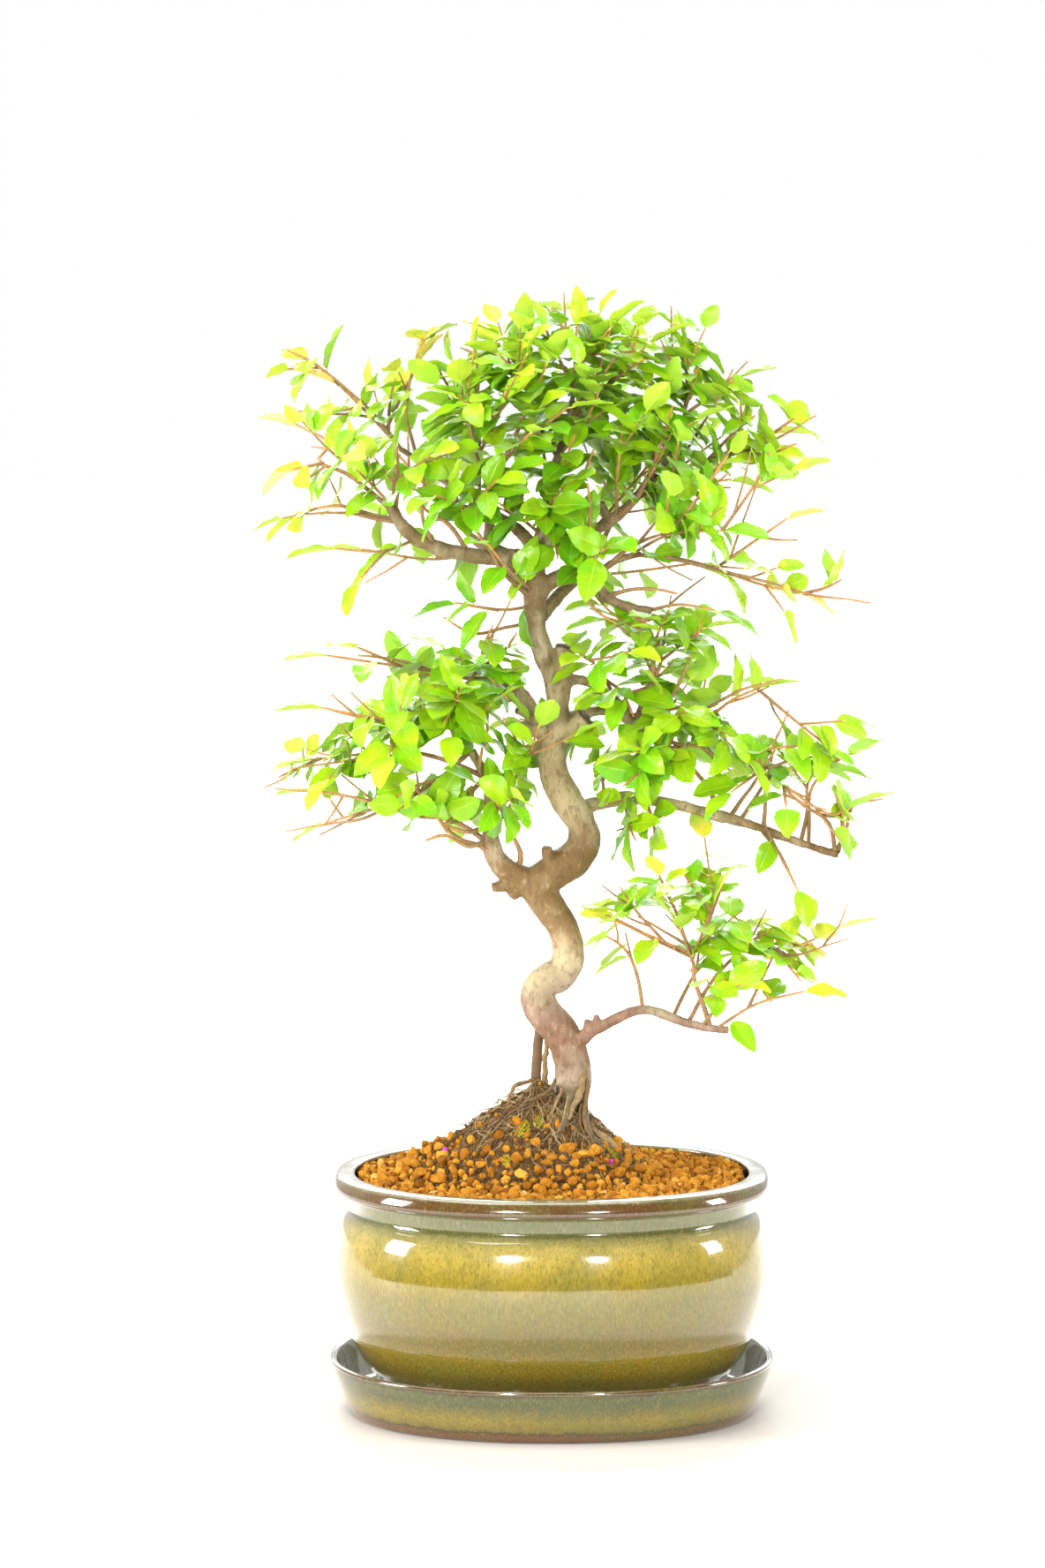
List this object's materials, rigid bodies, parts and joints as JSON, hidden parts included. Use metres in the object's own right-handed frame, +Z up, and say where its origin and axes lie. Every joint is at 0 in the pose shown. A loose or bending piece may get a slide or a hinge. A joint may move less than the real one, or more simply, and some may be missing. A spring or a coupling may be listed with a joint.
{
  "type": "bird plum bonsai",
  "caption": "Small bird plum bonsai with a winding trunk and airy leaf pads, planted in baked clay granules in an oval glazed pot that stands in a matching drip tray.",
  "frame": {"origin": "centre of the drip tray's flat underside", "axes": "+Z up along the tree, +X along the pot's length to the right as seen from the front, -Y towards the front of the tree"},
  "size_m": [0.2358, 0.1341, 0.4218],
  "materials": {
    "tray_glaze": "gloss",
    "pot_glaze": "gloss",
    "drain_mesh": "matte",
    "granules": "matte",
    "old_soil": "matte",
    "bark": "matte",
    "leaf": "satin",
    "young_leaf": "satin"
  },
  "bodies": {
    "root": {"drip_tray": "tray_glaze", "pot": "pot_glaze", "drain_mesh_left": "drain_mesh", "drain_mesh_right": "drain_mesh", "granule_bed": "granules", "root_ball": "old_soil", "trunk": "bark", "crown_apex": "leaf", "crown_top_left": "leaf", "crown_back_top": "leaf", "crown_top_right": "leaf", "crown_left_upright": "leaf", "crown_left_long": "leaf", "crown_left_high": "leaf", "crown_left_low": "leaf", "crown_left_under": "leaf", "crown_left_front": "leaf", "crown_front_left": "leaf", "crown_front": "leaf", "crown_low_left": "leaf", "crown_front_low_left": "leaf", "crown_front_low_right": "leaf", "crown_right_low": "leaf", "crown_right_long": "leaf", "crown_right_front": "leaf", "crown_right_mid": "leaf", "crown_right_high": "leaf", "crown_right_top": "leaf", "crown_back_right": "leaf", "crown_back_left": "leaf", "crown_back_low_right": "leaf", "crown_back_low_left": "leaf", "crown_back_mid": "leaf", "left_pad_upper": "leaf", "left_pad_upper_front": "leaf", "left_pad_middle": "leaf", "left_pad_outer": "leaf", "left_pad_low_outer": "leaf", "left_pad_low_front": "leaf", "left_pad_inner": "leaf", "left_pad_inner_right": "leaf", "left_pad_rise": "leaf", "left_pad_back": "leaf", "right_pad_top": "leaf", "right_pad_inner": "leaf", "right_pad_outer": "leaf", "right_pad_back": "leaf", "right_pad_back_upper": "leaf", "right_pad_low": "leaf", "right_limb_inner": "leaf", "right_limb_middle": "leaf", "right_limb_high": "leaf", "right_limb_end": "leaf", "right_limb_back": "leaf", "low_right_inner": "young_leaf", "low_right_left": "young_leaf", "low_right_outer": "young_leaf", "low_right_end": "young_leaf", "low_right_back": "young_leaf"}
  },
  "joints": []
}
